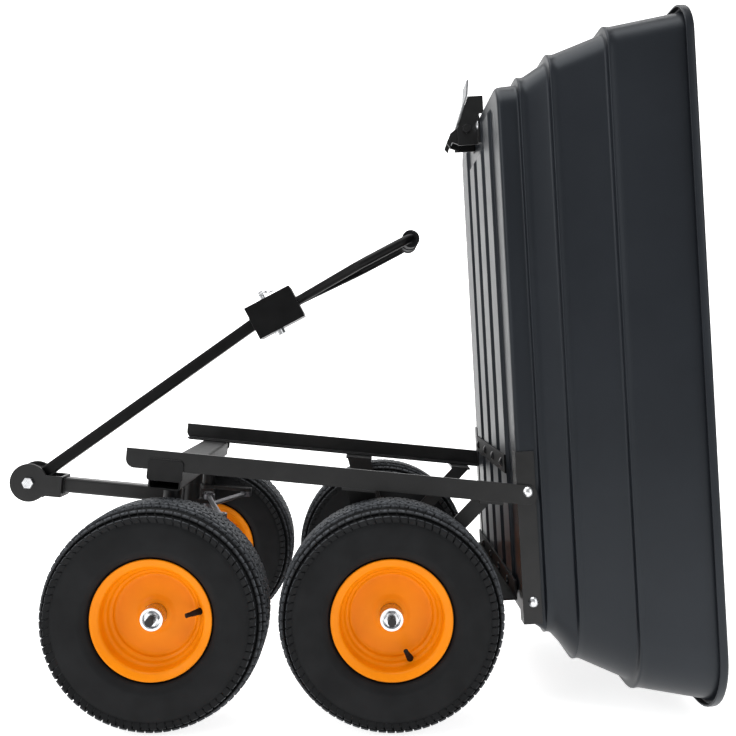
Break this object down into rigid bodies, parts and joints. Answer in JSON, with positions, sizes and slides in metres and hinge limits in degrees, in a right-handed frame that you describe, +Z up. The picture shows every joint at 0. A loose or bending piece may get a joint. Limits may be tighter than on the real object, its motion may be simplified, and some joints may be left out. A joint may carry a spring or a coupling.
{
  "type": "tipping dump cart",
  "caption": "Garden dump cart: a deep moulded tub tipped back on a steel wagon chassis with air tyres on steel rims, steered front wheels, and a folding pull handle.",
  "frame": {"origin": "on the ground under the middle of the cart's box, tub tipped", "axes": "+X forward to the drawbar, +Y to the left, +Z up"},
  "size_m": [1.1734, 0.65, 1.0903],
  "materials": {
    "black_steel": "satin powder coat",
    "tub_poly": "satin, moulded",
    "tyre": "matte",
    "grip": "matte",
    "orange_rim": "semi-gloss paint",
    "zinc": "bright zinc plate"
  },
  "bodies": {
    "chassis": {"rail_left": "black_steel", "rail_right": "black_steel", "front_cross_member": "black_steel", "kingpin_tubes": "black_steel", "steering_kingpin": "black_steel", "rear_axle_tube": "black_steel", "rear_axle_shaft": "black_steel", "rear_uprights": "black_steel", "rear_struts": "black_steel", "chassis_nuts": "zinc"},
    "drawbar": {"drawbar_head": "black_steel", "drawbar_tube": "black_steel", "drawbar_clevis": "black_steel", "clevis_pin": "zinc", "tie_rod_pin": "zinc"},
    "pull_handle": {"pull_bar_hub": "black_steel", "pull_bar": "black_steel", "tow_socket": "black_steel", "handle_tongue": "black_steel", "handle_loop": "black_steel", "handle_grip": "grip", "hitch_pin": "zinc"},
    "hitch_clip": {"hitch_clip": "zinc"},
    "tie_rod_left": {"tie_rod_left": "zinc"},
    "tie_rod_right": {"tie_rod_right": "zinc"},
    "tub": {"tub": "tub_poly", "tub_bracket_left": "black_steel", "tub_bracket_right": "black_steel", "tub_cross_strap": "black_steel", "tub_cross_angle": "black_steel", "tub_bolts": "zinc", "hinge_bolts": "zinc", "latch_bracket": "black_steel", "latch_bolt": "black_steel"},
    "latch": {"latch_lever": "black_steel", "latch_handle": "zinc", "latch_spring": "zinc"},
    "knuckle_left": {"knuckle_left": "black_steel", "spindle_left": "black_steel", "spindle_nut_left": "zinc"},
    "knuckle_right": {"knuckle_right": "black_steel", "spindle_right": "black_steel", "spindle_nut_right": "zinc"},
    "wheel_front_left": {"tyre_front_left": "tyre", "rim_front_left": "orange_rim", "hub_front_left": "zinc", "valve_front_left": "tyre"},
    "wheel_front_right": {"tyre_front_right": "tyre", "rim_front_right": "orange_rim", "hub_front_right": "zinc", "valve_front_right": "tyre"},
    "wheel_rear_left": {"tyre_rear_left": "tyre", "rim_rear_left": "orange_rim", "hub_rear_left": "zinc", "valve_rear_left": "tyre"},
    "wheel_rear_right": {"tyre_rear_right": "tyre", "rim_rear_right": "orange_rim", "hub_rear_right": "zinc", "valve_rear_right": "tyre"}
  },
  "joints": [
    {"name": "tub_tip", "type": "hinge", "parent": "chassis", "child": "tub", "pos_m": [-0.29975, 0, 0.351], "axis": [0, 1, 0], "range_deg": [0, 81.5]},
    {"name": "handle_pitch", "type": "hinge", "parent": "drawbar", "child": "pull_handle", "pos_m": [0.55271, 0, 0.33315], "axis": [0, 1, 0], "range_deg": [0, 165]},
    {"name": "drawbar_steer", "type": "hinge", "parent": "chassis", "child": "drawbar", "pos_m": [0.26665, 0, 0.30379], "axis": [-0.0941, 0, 0.9956], "range_deg": [-20, 20]},
    {"name": "latch_swing", "type": "hinge", "parent": "tub", "child": "latch", "pos_m": [-0.23043, 0, 0.96515], "axis": [0, 1, 0], "range_deg": [0, 22]},
    {"name": "clip_pull", "type": "slide", "parent": "pull_handle", "child": "hitch_clip", "axis": [0, 1, 0], "range_m": [0, 0.045]},
    {"name": "knuckle_steer_left", "type": "hinge", "parent": "chassis", "child": "knuckle_left", "pos_m": [0.26665, 0.174, 0.30379], "axis": [-0.0941, 0, 0.9956], "range_deg": [-8, 8]},
    {"name": "tie_rod_turn_left", "type": "hinge", "parent": "drawbar", "child": "tie_rod_left", "pos_m": [0.2348, 0, 0.30078], "axis": [-0.0941, 0, 0.9956], "range_deg": [-20, 20]},
    {"name": "knuckle_steer_right", "type": "hinge", "parent": "chassis", "child": "knuckle_right", "pos_m": [0.26665, -0.174, 0.30379], "axis": [-0.0941, 0, 0.9956], "range_deg": [-8, 8]},
    {"name": "tie_rod_turn_right", "type": "hinge", "parent": "drawbar", "child": "tie_rod_right", "pos_m": [0.2348, 0, 0.30078], "axis": [-0.0941, 0, 0.9956], "range_deg": [-20, 20]},
    {"name": "wheel_spin_front_left", "type": "hinge", "parent": "knuckle_left", "child": "wheel_front_left", "pos_m": [0.26825, 0.2615, 0.17], "axis": [0, 1, 0], "continuous": true},
    {"name": "wheel_spin_front_right", "type": "hinge", "parent": "knuckle_right", "child": "wheel_front_right", "pos_m": [0.26825, -0.2615, 0.17], "axis": [0, 1, 0], "continuous": true},
    {"name": "wheel_spin_rear_left", "type": "hinge", "parent": "chassis", "child": "wheel_rear_left", "pos_m": [-0.08775, 0.2615, 0.17], "axis": [0, 1, 0], "continuous": true},
    {"name": "wheel_spin_rear_right", "type": "hinge", "parent": "chassis", "child": "wheel_rear_right", "pos_m": [-0.08775, -0.2615, 0.17], "axis": [0, 1, 0], "continuous": true}
  ],
  "couplings": [
    {"joint": "handle_pitch", "follows": "tub_tip", "ratio": 2.0245},
    {"joint": "knuckle_steer_left", "follows": "drawbar_steer", "ratio": 0.4},
    {"joint": "knuckle_steer_right", "follows": "drawbar_steer", "ratio": 0.4},
    {"joint": "tie_rod_turn_left", "follows": "drawbar_steer", "ratio": -1},
    {"joint": "tie_rod_turn_right", "follows": "drawbar_steer", "ratio": -1}
  ]
}
